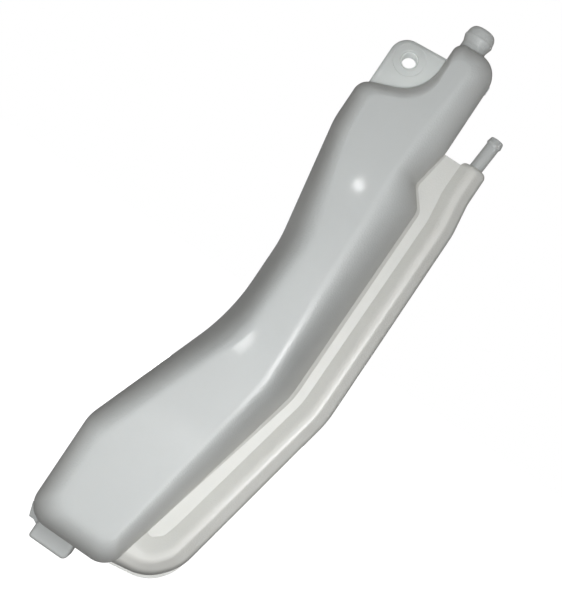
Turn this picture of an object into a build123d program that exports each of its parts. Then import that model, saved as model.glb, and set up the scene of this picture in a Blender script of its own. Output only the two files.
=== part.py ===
from build123d import *
import math
import os

# Coolant expansion tank: one blow-moulded piece of milky polyethylene.
# It stands upright as it is fitted. X is to the right, the side that shows faces -Y, and Z is up.
# The origin is the centre of the mounting ear's hole, on the mould's parting plane at Y = 0.
# Heights called a drop are measured down from that hole.

# Chamber outline at the parting plane
horn_left = 17.0
horn_width = 29.0
horn_top = 24.5
horn_corner = 3.0
horn_round = 16.0
shoulder_left = 18.1
shoulder_drop = 24.0
shoulder_rise = 12.4
shoulder_round = 8.0
shoulder_hollow = 36.0
waist_left = 5.0
waist_top_drop = 125.0
waist_bottom_drop = 176.0
waist_top_radius = 90.0
waist_bottom_radius = 130.0
upper_bend_drop = 50.0
upper_bend_radius = 50.0
lower_left = 40.2
lower_bend_drop = 272.0
lower_bend_radius = 25.0
bottom_drop = 340.8
bottom_right = 19.6
bottom_round = 14.0
elbow_drop = 54.0
elbow_step = 6.0
elbow_run = 14.0
elbow_radius = 20.0
side_bend_drop = 197.0
side_bend_radius = 60.0

# How far the front face lies inside that outline
horn_side_inset = 6.0
horn_right_inset = 14.0
horn_top_inset = 15.0
elbow_inset = 19.0
side_inset = 19.5
elbow_hollow = 5.5
bottom_inset = 23.0
corner_inset = 6.5
lower_inset = 18.0
waist_inset = 19.8
waist_spread = 12.0
bend_inset = 17.0
bend_depth_inset = 10.0
shoulder_inset = 14.0
shoulder_depth_inset = 8.0

# How round each wall is on its way to the face: 0 is a straight wall with a rounded edge, 1 a quarter ellipse
wall_roundness = 0.9
side_bend_roundness = 0.4
waist_roundness = 0.0
bend_roundness = 0.3
shoulder_roundness = 0.8

# Corner radii of the front face, where they differ from the outline's
horn_face_round = 7.0
bottom_face_round = 10.0
waist_face_bottom_radius = 80.0
waist_face_top_radius = 70.0
upper_bend_face_radius = 40.0

# Depths and walls
front_depth = 30.0
back_depth = 17.0
back_inset_share = 0.7
wall = 2.4
foot_draft_share = 0.36
foot_draft_height = 0.60
crown_share = 0.45

# Side channel and the pinched web beside it
channel_top_width = 16.0
channel_end_width = 20.0
channel_depth = 17.2
channel_crest = -0.5
channel_crest_radius = 9.0
channel_side_radius = 5.5
channel_side_fall = 3.0
channel_top_drop = 29.5
channel_top_right = 65.4
channel_jog_drop = 50.0
channel_jog_run = 19.0
channel_right = 68.0
channel_low_right = 45.3
channel_low_drop = 311.5
channel_hook_right = 36.0
channel_hook_drop = 323.8
channel_end_right = 12.0
channel_end_drop = 327.6
channel_bend_radius = 60.0
channel_hook_radius = 22.0
channel_jog_radius = 30.0
channel_end_round = 3.4
web_thickness = 3.8
web_top_drop = 32.4
rim_width = 1.3
rim_start_drop = 282.0

# Top neck, for the larger hose
neck_radius = 7.6
neck_bead_radius = 8.9
neck_tip_radius = 6.7
neck_bore_radius = 5.3
neck_length = 14.2
neck_bead_height = 7.5
neck_bead_rise = 3.5
neck_tip_chamfer = 0.9
neck_offset = 5.3

# Side spigot, for the smaller hose
spigot_radius = 4.1
spigot_bead_radius = 4.7
spigot_tip_radius = 3.7
spigot_bore_radius = 2.3
spigot_length = 20.5
spigot_bead_height = 17.5
spigot_bead_rise = 1.5
spigot_tip_chamfer = 0.5
spigot_lean = 4.0
spigot_offset = 0.4

# Mounting ear
ear_left = 12.6
ear_top = 10.1
ear_slope = 4.2
ear_round = 10.5
ear_front = 9.0
ear_back = 8.0
ear_edge_round = 1.2
ear_hole_radius = 4.45
ear_seat_radius = 8.9
ear_seat_depth = 0.4

# Foot tab under the lower left corner
foot_left = 30.3
foot_width = 26.2
foot_drop = 351.0
foot_thickness = 12.0
foot_left_round = 1.8
foot_right_round = 3.6

# Flash left by the mould at the parting plane
flash_thickness = 2.4
flash_proud = 0.6
flash_length = 9.0
flash_rise = 8.5
lug_reach = 3.2

horn_right = horn_left + horn_width
side_right = horn_right + elbow_step
overlap = 4.0
seam_step = 0.05
outside_levels = 6
inside_levels = 3
cap_levels = 4


def outline_corners(straight, curved):
    """Chamber corners, clockwise from the horn's top left, at a straight and a curved wall's inset share."""
    rows = [
        (horn_left, horn_top, horn_corner,
         horn_side_inset, -horn_top_inset, horn_corner, wall_roundness),
        (horn_right, horn_top, horn_round,
         -horn_right_inset, -horn_top_inset, horn_face_round, wall_roundness),
        (horn_right, -elbow_drop, elbow_radius,
         -elbow_inset, 0.0, elbow_radius, wall_roundness),
        (side_right, -elbow_drop - elbow_run, elbow_radius,
         -side_inset - elbow_hollow, -elbow_run / 2, side_bend_radius, wall_roundness),
        (side_right, -side_bend_drop, side_bend_radius,
         -side_inset, 0.0, side_bend_radius, side_bend_roundness),
        (bottom_right, -bottom_drop, bottom_round,
         -corner_inset, bottom_inset, bottom_face_round, wall_roundness),
        (-lower_left, -bottom_drop, bottom_round,
         lower_inset, bottom_inset, bottom_face_round, wall_roundness),
        (-lower_left, -lower_bend_drop, lower_bend_radius,
         lower_inset, 0.0, lower_bend_radius, wall_roundness),
        (-waist_left, -waist_bottom_drop, waist_bottom_radius,
         waist_inset, -waist_spread / 3, waist_face_bottom_radius, waist_roundness),
        (-waist_left, -waist_top_drop, waist_top_radius,
         waist_inset, waist_spread, waist_face_top_radius, waist_roundness),
        (-shoulder_left, -upper_bend_drop, upper_bend_radius,
         bend_inset, -bend_depth_inset, upper_bend_face_radius, bend_roundness),
        (-shoulder_left, -shoulder_drop, shoulder_round,
         shoulder_inset, -shoulder_depth_inset, shoulder_round, shoulder_roundness),
        (horn_left, shoulder_rise - shoulder_drop, shoulder_hollow,
         horn_side_inset, -shoulder_depth_inset, shoulder_hollow, wall_roundness),
    ]
    corners = []
    for x, z, radius, inset_x, inset_z, face_radius, roundness in rows:
        share = straight + roundness * (curved - straight)
        corners.append((x + share * inset_x, z + share * inset_z, radius + share * (face_radius - radius)))
    return corners


def unit(a, b):
    """Unit direction from corner a to corner b."""
    dx, dz = b[0] - a[0], b[1] - a[1]
    size = math.hypot(dx, dz)
    return dx / size, dz / size


def moved_in(corners, distance):
    """The clockwise outline moved inwards by a distance, with round corners that stay concentric."""
    result = []
    for i, (x, z, radius) in enumerate(corners):
        ax, az = unit(corners[i - 1], corners[i])
        bx, bz = unit(corners[i], corners[(i + 1) % len(corners)])
        turn = ax * bz - az * bx
        share = distance / (1 + ax * bx + az * bz)
        new_radius = radius - distance if turn < 0 else radius + distance
        result.append((x + share * (az + bz), z - share * (ax + bx), max(new_radius, 0.4)))
    return result


def corner_limit(before, here, after):
    """Largest radius that the two edges at a corner leave room for."""
    ax, az = unit(before, here)
    bx, bz = unit(here, after)
    half_turn = math.acos(max(-1.0, min(1.0, ax * bx + az * bz))) / 2
    room = 0.49 * min(math.dist(before[:2], here[:2]), math.dist(here[:2], after[:2]))
    return room / max(math.tan(half_turn), 0.001)


def fitted_radii(corners):
    """Each corner's radius, limited by the edges beside it."""
    radii = []
    for i, corner in enumerate(corners):
        limit = corner_limit(corners[i - 1], corner, corners[(i + 1) % len(corners)])
        radii.append(min(corner[2], limit))
    return radii


def closed_wire(corners, y):
    """Closed outline with rounded corners, at depth y."""
    points = [(x, y, z) for x, z, radius in corners]
    return FilletPolyline(*points, radius=fitted_radii(corners), close=True)


def wall_profile(t):
    """Share of the depth at t, and of the inset there on a straight wall and on a curved one."""
    height = 3 * t * (1 - t) ** 2 * foot_draft_height + 3 * t * t * (1 - t) + t ** 3
    straight = 3 * t * (1 - t) ** 2 * foot_draft_share + 3 * t * t * (1 - t) * (1 - crown_share) + t ** 3
    curved = 1 - math.sqrt(max(0.0, 1 - height ** 2))
    return height, straight, curved


def half_chamber(depth, inset_share, side, thickness, levels):
    """One mould half of the chamber, side -1 to the front or 1 to the back, moved in by a wall thickness."""
    wires = []
    for i in range(levels + 1):
        height, straight, curved = wall_profile(i / levels)
        corners = moved_in(outline_corners(straight * inset_share, curved * inset_share), thickness)
        wires.append(closed_wire(corners, side * height * (depth - thickness)))
    return Solid.make_loft(wires)


def chamber(thickness, levels):
    """The whole chamber, both mould halves."""
    front = half_chamber(front_depth, 1.0, -1, thickness, levels)
    back = half_chamber(back_depth, back_inset_share, 1, thickness, levels)
    return front + back


def plate(points, y_low, y_high):
    """Flat plate across the parting plane, from an outline of X, Z and radius."""
    face = make_face(closed_wire(points, y_high).edges())
    return extrude(face, amount=y_high - y_low, dir=(0, -1, 0))


def channel_corners():
    """Corners of the side channel's centre line, from its top end to inside the chamber."""
    return [
        (channel_top_right, -channel_top_drop, 0.0),
        (channel_top_right, -channel_jog_drop, channel_jog_radius),
        (channel_right, -channel_jog_drop - channel_jog_run, channel_jog_radius),
        (channel_right, -side_bend_drop, channel_bend_radius),
        (channel_low_right, -channel_low_drop, channel_hook_radius),
        (channel_hook_right, -channel_hook_drop, channel_hook_radius),
        (channel_end_right, -channel_end_drop, 0.0),
    ]


def channel_section(width, thickness):
    """Section across the channel: a gentle flank towards the chamber and a round outer side."""
    half, high, foot = width / 2, channel_depth / 2, web_thickness / 2
    side = high - channel_side_fall
    corners = [
        (-half, foot, 0.0),
        (channel_crest, high, channel_crest_radius),
        (half, side, channel_side_radius),
        (half, -side, channel_side_radius),
        (channel_crest, -high, channel_crest_radius),
        (-half, -foot, 0.0),
    ]
    return moved_in(corners, thickness)


def section_wire(width, thickness, plane):
    """Section outline of the channel on a plane across it."""
    corners = channel_section(width, thickness)
    points = [(x, y) for x, y, radius in corners]
    return plane * FilletPolyline(*points, radius=fitted_radii(corners), close=True)


def channel(thickness, top_drop):
    """Bar along the side channel's centre line from a top height, moved in by a wall thickness."""
    corners = channel_corners()
    points = [(x, 0, z) for x, z, r in corners]
    points[0] = (channel_top_right, 0, -top_drop)
    radii = []
    for i in range(1, len(corners) - 1):
        radii.append(min(corners[i][2], corner_limit(corners[i - 1], corners[i], corners[i + 1])))
    path = FilletPolyline(*points, radius=radii)
    sections = []
    for place, width in ((0, channel_top_width), (1, channel_end_width)):
        across = Plane(origin=path @ place, x_dir=(path % place).cross(Vector(0, 1, 0)), z_dir=path % place)
        sections.append(make_face(section_wire(width, thickness, across).edges()))
    return sweep(sections, path=path, multisection=True)


def channel_cap():
    """Rounded top end of the side channel, its section shrinking along a quarter circle."""
    start_drop = channel_top_drop + channel_end_round
    corners = channel_section(channel_top_width, seam_step)
    wires = []
    for i in range(cap_levels + 1):
        angle = math.radians(90 * i / cap_levels)
        size = 1 - 2 * channel_end_round / channel_top_width * (1 - math.cos(angle))
        drop = start_drop - channel_end_round * math.sin(angle)
        points = [(channel_top_right + size * x, -size * y, -drop) for x, y, r in corners]
        radii = [size * r for r in fitted_radii(corners)]
        wires.append(FilletPolyline(*points, radius=radii, close=True))
    return Solid.make_loft(wires)


def web():
    """Pinched web between chamber and channel, with the thin rim round the channel's lower hook."""
    path = channel_corners()
    bend, low = path[3], path[4]
    share = (rim_start_drop - side_bend_drop) / (channel_low_drop - side_bend_drop)
    start = (bend[0] + share * (low[0] - bend[0]), -rim_start_drop, 0.0)
    outer = moved_in(path[3:], -(channel_end_width / 2 + rim_width))[1:3]
    points = [
        (horn_right - overlap, -web_top_drop, 0.0),
        (channel_top_right, -web_top_drop, 0.0),
        (channel_top_right, -channel_jog_drop, 0.0),
        (channel_right, -channel_jog_drop - channel_jog_run, 0.0),
        bend,
        start,
        outer[0],
        outer[1],
        (channel_end_right, -channel_end_drop - channel_end_width / 2 - rim_width, 0.0),
        (channel_end_right, -channel_low_drop, 0.0),
        (horn_right - overlap, -side_bend_drop, 0.0),
    ]
    return plate(points, -web_thickness / 2, web_thickness / 2)


def beaded_tube(radius, bead, tip, length, bead_height, bead_rise, tip_chamfer):
    """Hose spigot along Z, with a bead that rises from the tube and tapers to the chamfered tip."""
    points = [
        (0, -overlap),
        (radius, -overlap),
        (radius, bead_height - bead_rise),
        (bead, bead_height),
        (bead, bead_height + bead_rise / 4),
        (tip, length - tip_chamfer),
        (tip - tip_chamfer, length),
        (0, length),
    ]
    section = Plane.XZ * make_face(Polyline(*points, close=True).edges())
    return revolve(section, axis=Axis.Z)


def neck_place():
    """Where the top neck stands on the horn."""
    return Location((horn_left + horn_width / 2 - neck_offset, 0, horn_top))


def spigot_place():
    """Where the side spigot stands on the channel's top end."""
    return Location((channel_top_right + spigot_offset, 0, -channel_top_drop)) * Rotation(0, spigot_lean, 0)


def neck():
    tube = beaded_tube(neck_radius, neck_bead_radius, neck_tip_radius, neck_length, neck_bead_height,
                       neck_bead_rise, neck_tip_chamfer)
    return neck_place() * tube


def spigot():
    tube = beaded_tube(spigot_radius, spigot_bead_radius, spigot_tip_radius, spigot_length,
                       spigot_bead_height, spigot_bead_rise, spigot_tip_chamfer)
    return spigot_place() * tube


def bore(place, radius, reach_down, reach_up):
    """Straight bore along a spigot."""
    cylinder = Cylinder(radius, reach_down + reach_up, align=(Align.CENTER, Align.CENTER, Align.MIN))
    return place * Pos(0, 0, -reach_down) * cylinder


def ear_corners():
    """Outline of the ear, clockwise from its top left, reaching into the horn and the shoulder."""
    reach = horn_left + overlap
    rise = (reach + ear_left) * math.tan(math.radians(ear_slope))
    low = -shoulder_drop - overlap
    return [
        (-ear_left, ear_top, ear_round),
        (reach, ear_top + rise, 0.0),
        (reach, low, 0.0),
        (-ear_left, low, 0.0),
    ]


def ear():
    """Mounting ear, its free edges rounded."""
    block = plate(ear_corners(), -ear_front, ear_back)
    edges = block.faces().filter_by(Axis.Y).edges()
    free = [e for e in edges if e.center().X < horn_left and e.center().Z > -shoulder_drop]
    return fillet(free, ear_edge_round)


def ear_pocket():
    """Hollow of the ear, open to the chamber, with a round post left about the hole."""
    corners = moved_in(ear_corners(), wall)
    block = plate(corners, -ear_front + ear_seat_depth + wall, ear_back - ear_seat_depth - wall)
    post = Cylinder(ear_hole_radius + wall, 4 * ear_front, rotation=(90, 0, 0))
    return block - post


def ear_hole():
    """Bolt hole through the ear, with a shallow round seat on each side."""
    hole = Cylinder(ear_hole_radius, 4 * ear_front, rotation=(90, 0, 0))
    front = Pos(0, -ear_front, 0) * Cylinder(ear_seat_radius, 2 * ear_seat_depth, rotation=(90, 0, 0))
    back = Pos(0, ear_back, 0) * Cylinder(ear_seat_radius, 2 * ear_seat_depth, rotation=(90, 0, 0))
    return hole + front + back


def foot_corners(top_drop):
    """Outline of the foot tab, clockwise from its top left."""
    right = -foot_left + foot_width
    return [
        (-foot_left, -top_drop, 0.0),
        (right, -top_drop, 0.0),
        (right, -foot_drop, foot_right_round),
        (-foot_left, -foot_drop, foot_left_round),
    ]


def foot():
    return plate(foot_corners(bottom_drop - bottom_inset), -foot_thickness / 2, foot_thickness / 2)


def foot_pocket():
    """Hollow of the foot tab, open to the chamber."""
    half = foot_thickness / 2 - wall
    return plate(moved_in(foot_corners(bottom_drop - bottom_inset), wall), -half, half)


def flash():
    """Small flash beside the horn's top."""
    top = flash_rise + flash_length
    return plate([
        (horn_right - overlap, top, 0.0),
        (horn_right - 2 * flash_proud, top - 2 * flash_proud, flash_proud),
        (horn_right + flash_proud, top - flash_length / 2, flash_proud),
        (horn_right + flash_proud, flash_rise, flash_proud),
        (horn_right - overlap, flash_rise - flash_proud, 0.0),
    ], -flash_thickness / 2, flash_thickness / 2)


def lug():
    """Flat pointed lug between the chamber's lower left corner and the foot tab."""
    bottom = -bottom_drop - lug_reach
    return plate([
        (flash_proud - lower_left, bottom_round / 2 - bottom_drop, 0.0),
        (-foot_left, bottom_round - bottom_drop, 0.0),
        (overlap - foot_left, bottom, 0.0),
        (-foot_left, bottom, 0.0),
        (-foot_left - lug_reach, bottom + lug_reach / 2, 0.0),
        (-foot_left - 2 * lug_reach, bottom + lug_reach / 2, flash_proud),
    ], -flash_thickness / 2, flash_thickness / 2)


def tank():
    """The whole tank: every outside form joined, then the hollow inside taken out."""
    outside = chamber(0.0, outside_levels) + channel(0.0, channel_top_drop + channel_end_round)
    outside = outside + channel_cap() + web() + neck() + spigot() + ear() + foot() + flash() + lug()
    inside = chamber(wall, inside_levels) + channel(wall, channel_top_drop + 2 * wall)
    inside = inside + bore(neck_place(), neck_bore_radius, horn_top_inset, neck_length + overlap)
    inside = inside + bore(spigot_place(), spigot_bore_radius, 3 * wall, spigot_length + overlap)
    inside = inside + ear_pocket() + foot_pocket()
    return outside - inside - ear_hole()


os.makedirs("parts", exist_ok=True)
shape = tank()
export_step(shape, "parts/tank.step")
print("volume", round(shape.volume / 1000, 1), "cm3, solids", len(shape.solids()), "valid", shape.is_valid)
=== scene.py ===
import cmath
import math
import bmesh
import bpy
import numpy as np
from mathutils import Matrix, Vector


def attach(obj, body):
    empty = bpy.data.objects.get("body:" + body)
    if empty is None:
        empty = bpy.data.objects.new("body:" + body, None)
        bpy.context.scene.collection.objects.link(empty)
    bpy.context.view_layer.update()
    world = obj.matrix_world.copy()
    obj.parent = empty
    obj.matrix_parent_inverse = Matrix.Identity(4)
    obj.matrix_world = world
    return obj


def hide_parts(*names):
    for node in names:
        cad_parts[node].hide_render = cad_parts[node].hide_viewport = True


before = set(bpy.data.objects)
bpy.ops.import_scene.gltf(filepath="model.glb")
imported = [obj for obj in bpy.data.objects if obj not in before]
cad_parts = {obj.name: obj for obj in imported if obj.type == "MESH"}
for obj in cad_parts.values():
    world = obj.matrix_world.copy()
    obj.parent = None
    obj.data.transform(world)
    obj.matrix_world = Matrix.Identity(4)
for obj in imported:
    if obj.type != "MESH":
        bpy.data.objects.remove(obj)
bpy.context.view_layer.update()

# The chamber is the tank's big hollow: two mould halves of milky polyethylene that meet on the parting plane
# at Y = 0. Sizes are in millimetres from the ear's hole, a drop is measured down from it, and outlines run
# clockwise as complex numbers, X + Z j.
horn_left, horn_right, horn_top = 17.0, 46.0, 24.5
horn_corner, horn_round, horn_face_round = 6.0, 16.0, 7.0
shoulder_left, shoulder_drop, shoulder_rise = 18.1, 24.0, 12.4
shoulder_round, shoulder_hollow = 8.0, 36.0
waist_left, waist_top_drop, waist_bottom_drop = 5.0, 125.0, 176.0
upper_bend_drop, lower_left, lower_bend_drop = 50.0, 40.2, 272.0
bottom_drop, bottom_right, bottom_round = 340.8, 19.6, 14.0
elbow_top, elbow_right, elbow_drop, elbow_step, elbow_run, elbow_radius = -33.0, 42.3, 56.0, 6.0, 12.0, 20.0
side_bend_drop, side_bend_radius = 197.0, 60.0
side_right = horn_right + elbow_step
front_depth, back_depth, back_inset_share = 30.0, 17.0, 0.7
rise_control, inset_controls = 0.60, (0.34, 0.42)
crown_slope, crown_runs = 0.008, (0.6, 1.4, 2.4, 3.6)
wall = 2.4
overlap = 4.0


def chamber_corners(straight=0.0, curved=0.0):
    """Chamber corners from the horn's top left, at a straight and a curved wall's share of the inset. Each
    row has a place and a radius on the parting plane, then the face's inset and radius, and how round the
    wall between them is."""
    rows = (
        (horn_left, horn_top, horn_corner, 5.0, -15.0, horn_corner, 0.9),
        (horn_right, horn_top, horn_round, -14.0, -15.0, horn_face_round, 1.6),
        (horn_right + 0.6, elbow_top, 50.0, -18.5, 0.0, 50.0, 1.5),
        (elbow_right, -elbow_drop, 5.0, -15.0, 0.0, elbow_radius, 1.2),
        (side_right, -elbow_drop - elbow_run, 8.0, -25.0, -elbow_run / 2, side_bend_radius, 0.9),
        (side_right, -side_bend_drop, side_bend_radius, -19.5, 0.0, side_bend_radius, 0.4),
        (bottom_right, -bottom_drop, bottom_round, -6.5, 23.0, 10.0, 0.9),
        (-lower_left, -bottom_drop, bottom_round, 18.0, 23.0, 10.0, 0.9),
        (-lower_left, -lower_bend_drop, 25.0, 18.0, 0.0, 25.0, 0.9),
        (-waist_left, -waist_bottom_drop, 130.0, 18.0, -4.0, 80.0, 0.0),
        (-waist_left, -waist_top_drop, 90.0, 21.0, 12.0, 70.0, 0.0),
        (-shoulder_left, -upper_bend_drop, 50.0, 17.0, -10.0, 40.0, 0.3),
        (-shoulder_left, -shoulder_drop, shoulder_round, 14.0, -8.0, shoulder_round, 0.8),
        (horn_left, shoulder_rise - shoulder_drop, shoulder_hollow, 6.0, -8.0, shoulder_hollow, 0.9),
    )
    corners = []
    for x, z, radius, inset_x, inset_z, face_radius, roundness in rows:
        share = max(0.0, straight + roundness * (curved - straight))
        corner = complex(x + share * inset_x, z + share * inset_z)
        corners.append((corner, radius + share * (face_radius - radius)))
    return corners


def direction(start, end):
    return (end - start) / abs(end - start)


def moved_in(corners, distance, smallest=0.4):
    """A clockwise outline moved inwards, its rounded corners kept concentric down to a smallest radius."""
    moved = []
    for i, (here, radius) in enumerate(corners):
        arriving = direction(corners[i - 1][0], here)
        leaving = direction(here, corners[(i + 1) % len(corners)][0])
        turn = arriving.conjugate() * leaving
        new_radius = radius - distance if turn.imag < 0 else radius + distance
        corner = here - 1j * distance * (arriving + leaving) / (1 + turn.real)
        moved.append((corner, max(new_radius, smallest)))
    return moved


def corner_arc(before, here, after, radius, count):
    """Places along the arc that rounds one corner, on less than half of the edges beside it."""
    back, ahead = direction(here, before), direction(here, after)
    half = math.acos(max(-1.0, min(1.0, (back.conjugate() * ahead).real))) / 2
    room = 0.49 * min(abs(before - here), abs(after - here))
    radius = max(min(radius, room * math.tan(half)), 0.02)
    centre = here + direction(0, back + ahead) * radius / math.sin(half)
    first = here + back * radius / math.tan(half) - centre
    last = here + ahead * radius / math.tan(half) - centre
    sweep = cmath.phase(last / first)
    return [centre + first * cmath.exp(1j * sweep * k / (count - 1)) for k in range(count)]


def rounded(corners, arc_points=16, edge_points=8):
    """Closed outline with arcs at its corners, the same number of places for any size of outline."""
    count = len(corners)
    arcs = [corner_arc(corners[i - 1][0], here, corners[(i + 1) % count][0], radius, arc_points)
            for i, (here, radius) in enumerate(corners)]
    places = []
    for i, arc in enumerate(arcs):
        step = (arcs[(i + 1) % count][0] - arc[-1]) / (edge_points + 1)
        places += arc + [arc[-1] + step * k for k in range(1, edge_points + 1)]
    return places


def wall_profile(t):
    """Share of the depth at t, from the parting plane to the face, and of a straight and a curved inset."""
    early, later = 3 * t * (1 - t) ** 2, 3 * t * t * (1 - t)
    height = early * rise_control + later + t ** 3
    straight = early * inset_controls[0] + later * inset_controls[1] + t ** 3
    return height, straight, 1 - math.sqrt(max(0.0, 1 - height ** 2))


def flat_ring(outline, y):
    """A ring of places at one depth."""
    return [(p.real, y, p.imag) for p in outline]


def chamber_rings(thickness, steps):
    """Rings of the chamber from its front face to its back face, moved in by a wall thickness. Both faces
    have a slight crown along their edge."""
    rings = []
    for k in range(-steps, steps + 1):
        height, straight, curved = wall_profile(abs(k) / steps)
        depth, share = (back_depth, back_inset_share) if k > 0 else (-front_depth, 1.0)
        outline = rounded(moved_in(chamber_corners(straight * share, curved * share), thickness))
        y = height * math.copysign(abs(depth) - thickness, depth)
        rings.append(flat_ring(outline, y))
    for side, share, out in ((0, 1.0, -1), (-1, back_inset_share, 1)):
        edge = rings[side][0][1]
        for run in crown_runs:
            margin = rounded(moved_in(chamber_corners(share, share), thickness + run))
            crown = crown_slope * run * (1 - run / (2 * crown_runs[-1]))
            crowned = flat_ring(margin, edge + out * crown)
            rings = [crowned] + rings if side == 0 else rings + [crowned]
    return rings


outer_forms = [chamber_rings(0.0, 28)]
inner_forms = [chamber_rings(wall, 10)]

# The side channel is a second, narrow hollow from its own spigot down to the chamber's lower end. A pinched
# web, where both walls of the mould close on each other, holds it to the chamber. A skirt thickens the web
# beside the chamber, and a thin rim of it goes on round the channel's lower hook.
channel_top_width, channel_end_width, channel_high = 16.0, 20.0, 8.6
channel_top_right, channel_top_drop, channel_right = 65.4, 29.5, 68.0
channel_low_right, channel_low_drop = 45.3, 311.5
channel_end_round, channel_foot = 3.4, complex(12.0, -327.6)
channel_side, channel_side_round, channel_crest, channel_crest_round = 3.4, 4.0, -0.4, 6.0
hook_flank, hook_side, hook_side_round, hook_crest, hook_crest_round = 7.0, 2.4, 5.0, 3.4, 8.0
hook_lead, hook_run = 1.35, 42.0
web_half, web_top_drop, web_fillet, rim_width, rim_start_drop = 1.9, 32.4, 0.3, 1.3, 282.0
skirt, skirt_half, skirt_slope = 1.7, 4.3, 3.8
plate_margin = 0.6
channel_line = [
    (complex(channel_top_right, -channel_top_drop - channel_end_round), 0.0),
    (complex(channel_top_right, -50.0), 30.0),
    (complex(channel_right, -69.0), 30.0),
    (complex(channel_right, -side_bend_drop), 60.0),
    (complex(channel_low_right, -channel_low_drop), 22.0),
    (complex(36.0, -323.8), 22.0),
    (channel_foot, 0.0),
]


def path_places(corners, spacing=4.0):
    """Places along an open line with rounded corners."""
    places = [corners[0][0]]
    for i in range(1, len(corners) - 1):
        places += corner_arc(corners[i - 1][0], corners[i][0], corners[i + 1][0], corners[i][1], count=14)
    places.append(corners[-1][0])
    filled = [places[0]]
    for place in places[1:]:
        pieces = max(1, round(abs(place - filled[-1]) / spacing))
        filled += [filled[-1] + (place - filled[-1]) * k / pieces for k in range(1, pieces + 1)]
    return filled


def channel_section(width, thickness, late=0.0):
    """Section across the channel, clockwise: a gentle flank towards the chamber and a round outer side. Late
    goes from 0 to 1 at the hook, where the flank reaches further and the outer side is flatter."""
    half = width / 2
    inner = -half - hook_flank * late
    side, side_round = channel_side + hook_side * late, channel_side_round + hook_side_round * late
    crest, crest_round = channel_crest - hook_crest * late, channel_crest_round + hook_crest_round * late
    corners = [(complex(inner, web_half), web_fillet), (complex(crest, channel_high), crest_round),
               (complex(half, side), side_round), (complex(half, -side), side_round),
               (complex(crest, -channel_high), crest_round), (complex(inner, -web_half), web_fillet)]
    return rounded(moved_in(corners, thickness), 10, 4)


def channel_rings(thickness, start):
    """Rings of the channel down its line, behind a rounded end where it is the outside."""
    places = path_places(channel_line)
    places[0] = complex(channel_top_right, -start)
    travelled = [0.0]
    for a, b in zip(places, places[1:]):
        travelled.append(travelled[-1] + abs(b - a))
    rings = []
    if thickness == 0.0:
        for k in range(9, 0, -1):
            angle = math.radians(10 * k)
            size = 1 - 2 * channel_end_round / channel_top_width * (1 - math.cos(angle))
            top = places[0] + 1j * channel_end_round * math.sin(angle)
            rings.append([(top.real + size * p.real, -size * p.imag, top.imag)
                          for p in channel_section(channel_top_width, 0.0)])
    for i, place in enumerate(places):
        ahead = direction(places[max(i - 1, 0)], places[min(i + 1, len(places) - 1)])
        width = channel_top_width + (channel_end_width - channel_top_width) * travelled[i] / travelled[-1]
        late = min(1.0, max(0.0, hook_lead - (travelled[-1] - travelled[i]) / hook_run)) ** 2
        ring = [(place + 1j * ahead * p.real, -p.imag) for p in channel_section(width, thickness, late)]
        rings.append([(flat.real, y, flat.imag) for flat, y in ring])
    return rings


def plate_ring(corners, inset, y):
    """A plate's outline, moved in and put at one depth."""
    return flat_ring(rounded(moved_in(corners, inset), 10, 2), y)


def plate_rings(corners, front, back, edge_round=0.0, edge_fall=0.0):
    """Rings of a flat plate from its front to its back, with edges rounded in and, by edge_fall, back."""
    rings = []
    steps = 8 if edge_round else 0
    for side, depth in ((-1, front), (1, back)):
        half = [plate_ring(corners, edge_round + plate_margin, side * depth)] if edge_round else []
        for k in range(steps + 1):
            angle = math.pi / 2 * k / max(steps, 1)
            inset = edge_round * (1 - math.sin(angle))
            half.append(plate_ring(corners, inset, side * (depth - edge_fall * (1 - math.cos(angle)))))
        rings += half if side < 0 else half[::-1]
    return rings


rim_start = channel_line[3][0] + (channel_line[4][0] - channel_line[3][0]) * (
    (rim_start_drop - side_bend_drop) / (channel_low_drop - side_bend_drop))
rim_outer = moved_in(channel_line[3:], -(channel_end_width / 2 + rim_width))[1:3]
web_corners = [
    (complex(horn_right - overlap, -web_top_drop), 0.0),
    (complex(channel_top_right, -web_top_drop), 0.0),
    (channel_line[1][0], 0.0),
    (channel_line[2][0], 0.0),
    (channel_line[3][0], 0.0),
    (rim_start, 0.0),
    rim_outer[0],
    rim_outer[1],
    (complex(channel_foot.real, channel_foot.imag - channel_end_width / 2 - rim_width), 0.0),
    (complex(channel_foot.real, -channel_low_drop), 0.0),
    (complex(horn_right - overlap, -side_bend_drop), 0.0),
]
skirt_corners = [
    (complex(horn_right + skirt, -web_top_drop), 0.0),
    (complex(elbow_right + skirt, -elbow_drop), 5.0),
    (complex(side_right + skirt, -elbow_drop - elbow_run), 8.0),
    (complex(side_right + skirt, -side_bend_drop), side_bend_radius),
    (complex(bottom_right + skirt, -bottom_drop + 10.0), 0.0),
    (complex(bottom_right - 12.0, -bottom_drop + 10.0), 0.0),
    (complex(side_right - 14.0, -side_bend_drop), 0.0),
    (complex(horn_right - 12.0, -web_top_drop), 0.0),
]
skirt_rings = [plate_ring(skirt_corners, inset, y) for inset, y in (
    (skirt_slope, -skirt_half), (0.0, -web_half), (0.0, web_half), (skirt_slope, skirt_half))]
outer_forms += [channel_rings(0.0, channel_top_drop + channel_end_round),
                plate_rings(web_corners, web_half, web_half), skirt_rings]
inner_forms += [channel_rings(wall, channel_top_drop + 2 * wall)]

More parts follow.
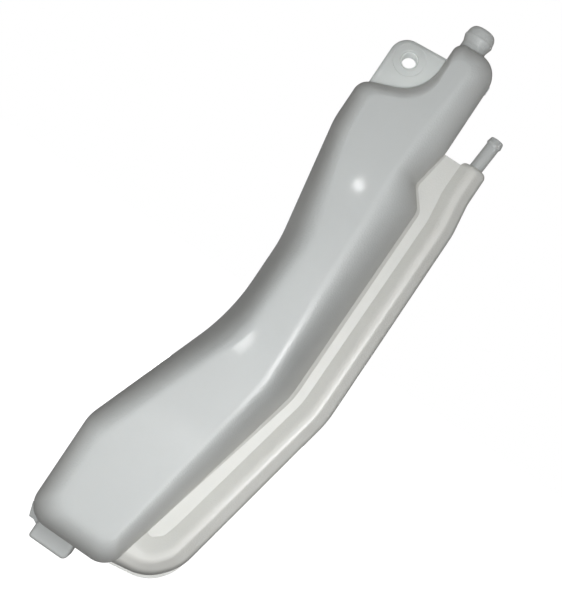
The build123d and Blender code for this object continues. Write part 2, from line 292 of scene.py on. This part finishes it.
# The mounting ear is a flat lobe beside the horn, with a bolt hole and a shallow round seat on each side.
# The foot tab drops into a slot below, and small flash from the mould stands beside the horn and above the
# foot.
ear_left, ear_top, ear_slope, ear_round = 12.6, 10.1, 4.2, 10.5
ear_front, ear_back = 9.0, 8.0
foot_left, foot_width, foot_top_drop, foot_drop, foot_half = 30.3, 26.2, 319.0, 351.0, 6.0
flash_half, flash_proud, flash_rise, flash_length, lug_reach = 1.2, 0.6, 8.5, 9.0, 3.2
ear_reach = horn_left + overlap
ear_corners = [
    (complex(-ear_left, ear_top), ear_round),
    (complex(ear_reach, ear_top + (ear_reach + ear_left) * math.tan(math.radians(ear_slope))), 0.0),
    (complex(ear_reach, -shoulder_drop - overlap), 0.0),
    (complex(-ear_left, -shoulder_drop - overlap), 0.0),
]
foot_corners = [
    (complex(-foot_left, -foot_top_drop), 0.0),
    (complex(foot_width - foot_left, -foot_top_drop), 0.0),
    (complex(foot_width - foot_left, -foot_drop), 3.6),
    (complex(-foot_left, -foot_drop), 1.8),
]
flash_top = flash_rise + flash_length
flash_corners = [
    (complex(horn_right - overlap, flash_top), 0.0),
    (complex(horn_right - 2 * flash_proud, flash_top - 2 * flash_proud), flash_proud),
    (complex(horn_right + flash_proud, flash_top - flash_length / 2), flash_proud),
    (complex(horn_right + flash_proud, flash_rise), flash_proud),
    (complex(horn_right - overlap, flash_rise - flash_proud), 0.0),
]
lug_bottom = -bottom_drop - lug_reach
lug_corners = [
    (complex(flash_proud - lower_left, bottom_round / 2 - bottom_drop), 0.0),
    (complex(-foot_left, bottom_round - bottom_drop), 0.0),
    (complex(overlap - foot_left, lug_bottom), 0.0),
    (complex(-foot_left, lug_bottom), 0.0),
    (complex(-foot_left - lug_reach, lug_bottom + lug_reach / 2), 0.0),
    (complex(-foot_left - 2 * lug_reach, lug_bottom + lug_reach / 2), flash_proud),
]
outer_forms += [plate_rings(ear_corners, ear_front, ear_back, edge_round=3.6, edge_fall=2.2),
                plate_rings(foot_corners, foot_half, foot_half, edge_round=2.2, edge_fall=1.6),
                plate_rings(flash_corners, flash_half, flash_half),
                plate_rings(lug_corners, flash_half, flash_half)]

# The moulding itself: the forms above are one piece of plastic, so they are joined one by one into one closed
# skin, with the clean lines between them that the mould leaves.
MM = 0.001


def mesh_of(name, rings):
    """A mesh, in metres, of one closed form that is given as rings."""
    places, faces = [], []
    count = len(rings[0])
    for ring in rings:
        places += [(x * MM, y * MM, z * MM) for x, y, z in ring]
    for row in range(0, (len(rings) - 1) * count, count):
        for k in range(count):
            following = (k + 1) % count
            faces.append((row + k, row + following, row + count + following, row + count + k))
    faces.append(tuple(range(count - 1, -1, -1)))
    faces.append(tuple(range((len(rings) - 1) * count, len(rings) * count)))
    mesh = bpy.data.meshes.new(name)
    mesh.from_pydata(places, [], faces)
    return mesh


def outwards(mesh):
    """The mesh with its faces turned outwards."""
    work = bmesh.new()
    work.from_mesh(mesh)
    bmesh.ops.recalc_face_normals(work, faces=work.faces)
    work.to_mesh(mesh)
    work.free()
    return mesh


def placed(name, data):
    made = bpy.data.objects.new(name, data)
    bpy.context.scene.collection.objects.link(made)
    return made


def baked(made):
    """Puts an object's live modifiers into its mesh."""
    evaluated = made.evaluated_get(bpy.context.evaluated_depsgraph_get())
    mesh = bpy.data.meshes.new_from_object(evaluated)
    made.modifiers.clear()
    made.data = mesh


def turned(profile, place, along, segments=72):
    """Rings of a turned form: radius + height j along an axis from a place."""
    along = Vector(along).normalized()
    off_axis = Vector((0.3, 0.7, 0.2))
    across = along.cross(off_axis).normalized()
    upward = along.cross(across)
    rings = []
    for p in profile:
        ring = []
        for k in range(segments):
            angle = 2 * math.pi * k / segments
            outward = across * math.cos(angle) + upward * math.sin(angle)
            ring.append(tuple(Vector(place) + along * p.imag + outward * p.real))
        rings.append(ring)
    return rings


def combine(body, name, rings, operation):
    """Joins a closed form to the body, or cuts it out."""
    tool = placed(name, outwards(mesh_of(name, rings)))
    step = body.modifiers.new(name, "BOOLEAN")
    step.operation = operation
    step.solver = "MANIFOLD"
    step.object = tool
    baked(body)
    bpy.data.objects.remove(tool)


tank_skin = placed("tank_skin", outwards(mesh_of("tank_skin", outer_forms[0])))
for number, rings in enumerate(outer_forms[1:]):
    combine(tank_skin, "form_" + str(number), rings, "UNION")

# Two hose spigots are moulded onto the tops of the horn and of the channel. Each has a raised bead that holds
# the hose and a tapered, softly rounded tip.
neck_place, neck_along = (26.2, 0.0, horn_top), (0, 0, 1)
neck_tube, neck_bead, neck_bore, neck_lip, neck_dome = 7.6, 8.9, 5.3, 3.2, 5.7
spigot_place, spigot_lean = (channel_top_right + 0.4, 0.0, -channel_top_drop), math.radians(4.0)
spigot_along = (math.sin(spigot_lean), 0.0, math.cos(spigot_lean))
spigot_tube, spigot_bead, spigot_bore = 4.1, 4.7, 2.3
neck_corners = [(neck_tube - 6.0j, 0.0), (neck_tube + 3.6j, 4.0), (neck_bead + 7.4j, 0.8), (8.7 + 8.5j, 0.0)]
neck_tip = [complex(neck_bore + neck_lip * math.cos(math.radians(5 * k)),
                    8.5 + neck_dome * math.sin(math.radians(5 * k))) for k in range(19)]
spigot_corners = [(spigot_tube - 2.0j, 0.0), (spigot_tube + 15.8j, 1.5), (spigot_bead + 17.0j, 0.4),
                  (4.6 + 17.6j, 0.4), (4.0 + 20.4j, 1.2), (2.6 + 20.5j, 0.0)]
combine(tank_skin, "neck", turned(path_places(neck_corners, 2.0) + neck_tip, neck_place, neck_along), "UNION")
combine(tank_skin, "spigot", turned(path_places(spigot_corners, 2.0), spigot_place, spigot_along), "UNION")

# What is hollow is cut out last: the chamber and the channel, the bores of the two spigots with their wider
# mouths, and the bolt hole through the ear with a seat at each end, a little narrower at mid-depth.
for number, rings in enumerate(inner_forms):
    combine(tank_skin, "hollow_" + str(number), rings, "DIFFERENCE")
neck_hole = [neck_bore - 12j, neck_bore + 13.4j, 5.9 + 14.3j, 5.9 + 16j]
spigot_hole = [spigot_bore - 9j, spigot_bore + 20.1j, 2.7 + 20.7j, 2.7 + 22j]
combine(tank_skin, "neck_hole", turned(neck_hole, neck_place, neck_along), "DIFFERENCE")
combine(tank_skin, "spigot_hole", turned(spigot_hole, spigot_place, spigot_along, 48), "DIFFERENCE")
seat_corners = [(10.4 - 9.3j, 0.0), (9.3 - 8.8j, 1.0), (5.6 - 8.75j, 1.2), (4.4 - 7.4j, 1.6), (4.1, 20.0),
                (4.4 + 6.4j, 1.6), (5.6 + 7.75j, 1.2), (9.3 + 7.8j, 1.0), (10.4 + 8.3j, 0.0)]
combine(tank_skin, "ear_hole", turned(path_places(seat_corners, 1.0), (0, 0, 0), (0, 1, 0)), "DIFFERENCE")


# Milky natural polyethylene. The pinched web and the channel are solid or doubled plastic and look whiter and
# warmer than the chamber, whose thin walls let the light through into the hollow.
class Wire:
    """One socket of a shader tree. Sums with it add Math nodes."""

    def __init__(self, tree, socket=None):
        self.tree = tree
        self.socket = socket

    def node(self, kind, settings=None, inputs=None, output=0):
        made = self.tree.nodes.new(kind)
        for name, value in (settings or {}).items():
            setattr(made, name, value)
        for name, value in (inputs or {}).items():
            if isinstance(value, Wire):
                self.tree.links.new(value.socket, made.inputs[name])
            else:
                made.inputs[name].default_value = value
        return Wire(self.tree, made.outputs[output]) if made.outputs else None

    def maths(self, operation, first, second=0.0):
        return self.node("ShaderNodeMath", {"operation": operation}, {0: first, 1: second})

    def __add__(self, other):
        return self.maths("ADD", self, other)

    def __sub__(self, other):
        return self.maths("SUBTRACT", self, other)

    def __mul__(self, other):
        return self.maths("MULTIPLY", self, other)

    def __pow__(self, other):
        return self.maths("POWER", self, other)

    def __abs__(self):
        return self.maths("ABSOLUTE", self)

    def __rsub__(self, other):
        return self.maths("SUBTRACT", other, self)

    __radd__ = __add__
    __rmul__ = __mul__

    def at_most(self, limit):
        return self.maths("MINIMUM", self, limit)

    def at_least(self, limit):
        return self.maths("MAXIMUM", self, limit)

    def along(self, way):
        """How far a vector reaches one way."""
        return self.node("ShaderNodeVectorMath", {"operation": "DOT_PRODUCT"}, {0: self, 1: way}, 1)

    def ramp(self, start, end, first=0.0, last=1.0):
        """First where the value is at start, last where it is at end, and held beyond them."""
        return self.node("ShaderNodeMapRange", inputs={"Value": self, "From Min": start, "From Max": end,
                                                       "To Min": first, "To Max": last})

    def mark(self, name):
        """The mesh attribute of that name."""
        return self.node("ShaderNodeAttribute", {"attribute_name": name}, output=2)


def new_material(name):
    material = bpy.data.materials.new(name)
    material.use_nodes = True
    material.node_tree.nodes.clear()
    return material, Wire(material.node_tree)


def mixed(wire, factor, first, second):
    """One colour turning into another."""
    return wire.node("ShaderNodeMix", {"data_type": "RGBA"}, {"Factor": factor, 6: first, 7: second}, 2)


# Base colours of the plastic. The two turned colours are painted shade, warmer and darker, for walls that
# turn away.
chamber_colour = (0.655, 0.680, 0.675, 1.0)
turned_shade_colour = (0.65, 0.64, 0.607, 1.0)
ear_colour = (0.73, 0.76, 0.745, 1.0)
channel_colour = (0.79, 0.79, 0.755, 1.0)
channel_turned_shade = (0.62, 0.62, 0.58, 1.0)
web_colour = (0.79, 0.795, 0.765, 1.0)
# Strengths of the painted light and shade below: the falloff from the upper end to the lower one, the ear's
# painted shade and light, and the painted shade on turned walls, marked parts, undersides and the waist's
# bands.
top_tone, bottom_tone = 0.80, 1.03
ear_painted_dark, ear_painted_light = -0.20, 0.30
side_shade, horn_lift, channel_shade, hook_shade = 0.15, 0.36, 0.22, 0.36
mark_shade, under_shade, waist_shade = 0.30, 0.6, 0.28
waist_drop = 0.175

plastic, wire = new_material("milky_polyethylene")
spot = wire.node("ShaderNodeTexCoord", output=3)
normal = wire.node("ShaderNodeTexCoord", output=1)
level = wire.node("ShaderNodeSeparateXYZ", inputs={"Vector": spot}, output=2)
frontal = wire.node("ShaderNodeSeparateXYZ", inputs={"Vector": normal}, output=1)
grain = wire.node("ShaderNodeTexNoise", inputs={"Vector": spot, "Scale": 1100.0, "Detail": 2.0})
waves = wire.node("ShaderNodeTexNoise", inputs={"Vector": spot, "Scale": 30.0, "Detail": 2.0})
turning = wire.node("ShaderNodeLayerWeight", inputs={"Blend": 0.3}, output=1)
beside, pinched, lobe = wire.mark("beside"), wire.mark("pinched"), wire.mark("lobe")
# The turned colours are mixed in by how far the surface turns away: painted shade on the walls and the
# channel's side.
body_colour = mixed(wire, lobe, mixed(wire, turning, chamber_colour, turned_shade_colour), ear_colour)
side_colour = mixed(wire, pinched, mixed(wire, turning, channel_colour, channel_turned_shade), web_colour)
colour = mixed(wire, beside, body_colour, side_colour)

# Painted light and shade, multiplied into the colour. A painted light falloff makes the upper end dim and the
# lower one light. Painted shade darkens the walls that face the lower right, those that face down at the
# lower end and bands beside the waist, and painted light lightens the horn where it turns away.
away = normal.along((0.8, 0.0, -0.6))
turned_from_light, leaning = away.at_least(0.0), abs(away)
from_waist = abs(level + waist_drop)
high = level.ramp(-0.07, -0.01, 0.0, 0.5)
low = level.ramp(-0.28, -0.33)
under = normal.along((-0.3, 0.0, -0.95)).at_least(0.0) * low
# Painted shade and light on the ear: darker at its top and lighter towards the chamber.
ear_painted_shade = spot.along((1.0, 0.0, -1.0)).ramp(-0.02, 0.02, ear_painted_dark, ear_painted_light)
banded = (1.0 - (9.0 * from_waist).at_most(1.0)) * (2.0 * leaning).at_most(1.0) * (1.0 - leaning ** 5.0)
shaded = turned_from_light * (side_shade - horn_lift * high + beside * (channel_shade + hook_shade * low))
tone = level.ramp(0.01, -0.27, top_tone, bottom_tone)
tone = tone * (1.0 - mark_shade * (wire.mark("painted_shade_and_light") + wire.mark("foot")))
tone = tone * (1.0 - shaded) * (1.0 + lobe * ear_painted_shade)
tone = tone * (1.0 + high * turning * (1.0 - turned_from_light)) * (1.0 - under_shade * under)
tone = tone * (1.0 - waist_shade * banded * (1.0 - beside))
shade = wire.node("ShaderNodeCombineXYZ", inputs={"X": tone, "Y": tone, "Z": tone})
colour = wire.node("ShaderNodeVectorMath", {"operation": "MULTIPLY"}, {0: colour, 1: shade})

# The flat faces have a thin gloss. The chamber is smoothest at the waist and rougher towards its ends, and
# the fine grain shows most on the web and where a face turns into a wall.
tilt = 1.0 - abs(frontal)
flat = 1.0 - (300.0 * tilt).at_most(1.0)
ridge = (25.0 * tilt).at_most(1.0) * (1.0 - tilt)
off_centre = (18.0 * from_waist).at_most(1.0)
rough = 0.34 + 0.10 * grain + (1.0 - beside) * (0.16 * off_centre - 0.05)
height = grain * (0.00003 + 0.00015 * pinched + 0.00035 * ridge) + waves * 0.0005
bump = wire.node("ShaderNodeBump", inputs={"Strength": 0.5, "Distance": 1.0, "Height": height})
surface = wire.node("ShaderNodeBsdfPrincipled", {"subsurface_method": "RANDOM_WALK"}, {
    "Base Color": colour, "Roughness": rough, "IOR": 1.5, "Normal": bump,
    "Subsurface Weight": 0.40, "Subsurface Radius": (1.0, 0.95, 0.9), "Subsurface Scale": 0.003,
    "Coat Weight": 0.40 * flat * (1.0 - beside), "Coat Roughness": 0.065})
wire.node("ShaderNodeOutputMaterial", inputs={"Surface": surface})


def inside_distance(points, outline):
    """How far each place lies inside a closed outline, in millimetres, and below zero outside it."""
    shape = np.array([(p.real, p.imag) for p in outline])
    nearest = np.full(len(points), 1e9)
    inside = np.zeros(len(points), dtype=bool)
    for a, b in zip(shape, np.roll(shape, -1, axis=0)):
        run = b - a
        along = np.clip((points - a) @ run / (run @ run), 0, 1)
        nearest = np.minimum(nearest, np.hypot(*(points - a - along[:, None] * run).T))
        if a[1] != b[1]:
            crosses = (a[1] > points[:, 1]) != (b[1] > points[:, 1])
            inside ^= crosses & (points[:, 0] < a[0] + run[0] * (points[:, 1] - a[1]) / (b[1] - a[1]))
    return np.where(inside, nearest, -nearest)


def per_face(choose, values):
    """The largest or the smallest value at each face's corners."""
    return choose.reduceat(values[loop_points], face_starts)


def read(items, name, kind, width=1):
    """One property of all of a mesh's items, as an array."""
    values = np.empty(len(items) * width, dtype=kind)
    items.foreach_get(name, values)
    return values.reshape(-1, width) if width > 1 else values


# Each face says in its corners' attributes which part of the moulding it is on, by where it lies: beside the
# chamber, on the pinched web, on the ear's lobe, or on the foot, which gets painted shade that darkens
# upwards towards the body. A further mark holds painted shade on the spigot and, below zero, painted light
# that makes the ear's bore lighter.
clear, side_top, spigot_left, bore_reach = 0.05, -29.0, 55.0, 5.0
spigot_painted_shade, bore_painted_light, foot_shade_range = 0.45, 2.0, (0.3, 1.4)
mesh = tank_skin.data
places = read(mesh.vertices, "co", float, 3) / MM
loop_points = read(mesh.loops, "vertex_index", np.int32)
face_starts = read(mesh.polygons, "loop_start", np.int32)
face_sizes = read(mesh.polygons, "loop_total", np.int32)
squareness = np.abs(read(mesh.polygons, "normal", float, 3)[:, 1])
chamber_outline = rounded(chamber_corners(), 8, 1)
outside = per_face(np.maximum, -inside_distance(places[:, (0, 2)], chamber_outline)) > clear
left, right = per_face(np.minimum, places[:, 0]), per_face(np.maximum, places[:, 0])
top, deep = per_face(np.maximum, places[:, 2]), per_face(np.maximum, np.abs(places[:, 1]))
on_side = outside & (left > 0) & (top < side_top)
on_web = on_side & (squareness > 0.999) & (deep < 2.0)
on_lobe = outside & (right < horn_left + 0.5) & (top > -shoulder_drop)
on_spigot = outside & (left > spigot_left) & (top > side_top)
on_foot = outside & (left < 0) & (top < -bottom_drop + bottom_round)
in_bore = per_face(np.maximum, np.hypot(places[:, 0], places[:, 2])) < bore_reach
foot_painted_shade = np.clip((places[loop_points, 2] + foot_drop + 3.0) / 9.0, *foot_shade_range)
painted_shade_and_light = spigot_painted_shade * on_spigot - bore_painted_light * in_bore
for name, marked, strength in (("beside", on_side, 1.0), ("pinched", on_web, 1.0), ("lobe", on_lobe, 1.0),
                               ("painted_shade_and_light", painted_shade_and_light, 1.0), ("foot", on_foot, foot_painted_shade)):
    values = (np.repeat(marked, face_sizes) * strength).astype(np.float32)
    mesh.attributes.new(name, "FLOAT", "CORNER").data.foreach_set("value", values)
mesh.materials.clear()
mesh.materials.append(plastic)
mesh.shade_smooth()
mesh.set_sharp_from_angle(angle=math.radians(18))
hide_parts("tank")
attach(tank_skin, "root")

# The stage: a plain pale floor below the hanging tank, and a white surround that gives the object less light
# than the camera sees in it.
floor_half, floor_level = 6, -0.40
floor_material, wire = new_material("floor")
seen = wire.node("ShaderNodeLightPath", output="Is Camera Ray")
paper = wire.node("ShaderNodeBsdfDiffuse", inputs={"Color": (0.8, 0.8, 0.8, 1.0)})
glow = wire.node("ShaderNodeEmission", inputs={"Color": (1, 1, 1, 1), "Strength": 0.95 * seen})
both = wire.node("ShaderNodeAddShader", inputs={0: paper, 1: glow})
wire.node("ShaderNodeOutputMaterial", inputs={"Surface": both})
floor_mesh = bpy.data.meshes.new("floor")
floor_mesh.from_pydata([(x * floor_half, y * floor_half, floor_level)
                        for x, y in ((-1, -1), (1, -1), (1, 1), (-1, 1))], [], [(0, 1, 2, 3)])
floor_mesh.materials.append(floor_material)
floor = placed("floor", floor_mesh)

world = bpy.data.worlds.new("studio")
bpy.context.scene.world = world
world.use_nodes = True
world.node_tree.nodes.clear()
wire = Wire(world.node_tree)
seen = wire.node("ShaderNodeLightPath", output="Is Camera Ray")
sky = wire.node("ShaderNodeBackground", inputs={"Color": (1, 1, 1, 1), "Strength": 0.19 + 0.81 * seen})
wire.node("ShaderNodeOutputWorld", inputs={"Surface": sky})


# Round lamps: the main one near the camera, a wide one behind, a side lamp whose reflection runs along the
# chamber's ridge, and two small ones whose reflections show as spots on the front face.
def lamp(name, place, target, size, energy, glossy=True, diffuse=True):
    light = bpy.data.lights.new(name, "AREA")
    light.shape = "DISK"
    light.size = size
    light.energy = energy
    made = placed(name, light)
    made.location = place
    made.rotation_euler = (Vector(target) - Vector(place)).to_track_quat("-Z", "Y").to_euler()
    made.visible_glossy = glossy
    made.visible_diffuse = diffuse


middle, lower, upper = (0.02, 0.0, -0.16), (0.0, 0.0, -0.19), (0.0, 0.0, -0.07)
lamp("flash", (0.11, -1.0, -0.25), middle, 0.11, 5.95, glossy=False)
lamp("back_fill", (0.02, 1.40, -0.16), middle, 0.80, 7.0, glossy=False)
lamp("ridge_gloss", (0.37, -0.96, -0.342), (0.03, 0.0, -0.19), 0.17, 12.0, diffuse=False)
lamp("upper_spot", (-0.0205, -0.652, -0.0215), upper, 0.012, 0.0145, diffuse=False)
lamp("lower_spot", (-0.0345, -0.652, -0.2345), lower, 0.028, 0.034, diffuse=False)

# The camera stands 0.65 m off, nearly square to the front face, and is rolled so that the tank lies across
# the picture with its upper end to the right.
camera_place, camera_target = Vector((0.05415, -0.650, -0.13210)), Vector((0.01585, 0.0, -0.15514))
camera_roll = math.radians(56.0)
forward = (camera_target - camera_place).normalized()
upright = (Vector((0, 0, 1)) - forward * forward.z).normalized()
rightward = forward.cross(upright)
picture_right = math.cos(camera_roll) * upright + math.sin(camera_roll) * rightward
picture_up = math.sin(camera_roll) * upright - math.cos(camera_roll) * rightward
camera_turn = Matrix((picture_right, picture_up, -forward)).transposed().to_4x4()
camera_data = bpy.data.cameras.new("camera")
camera_data.lens = 66.955
camera_data.sensor_width = 36.0
camera_data.clip_start = 0.05
camera = placed("camera", camera_data)
camera.matrix_world = Matrix.Translation(camera_place) @ camera_turn
bpy.context.scene.camera = camera

bpy.context.scene.view_settings.view_transform = "Standard"
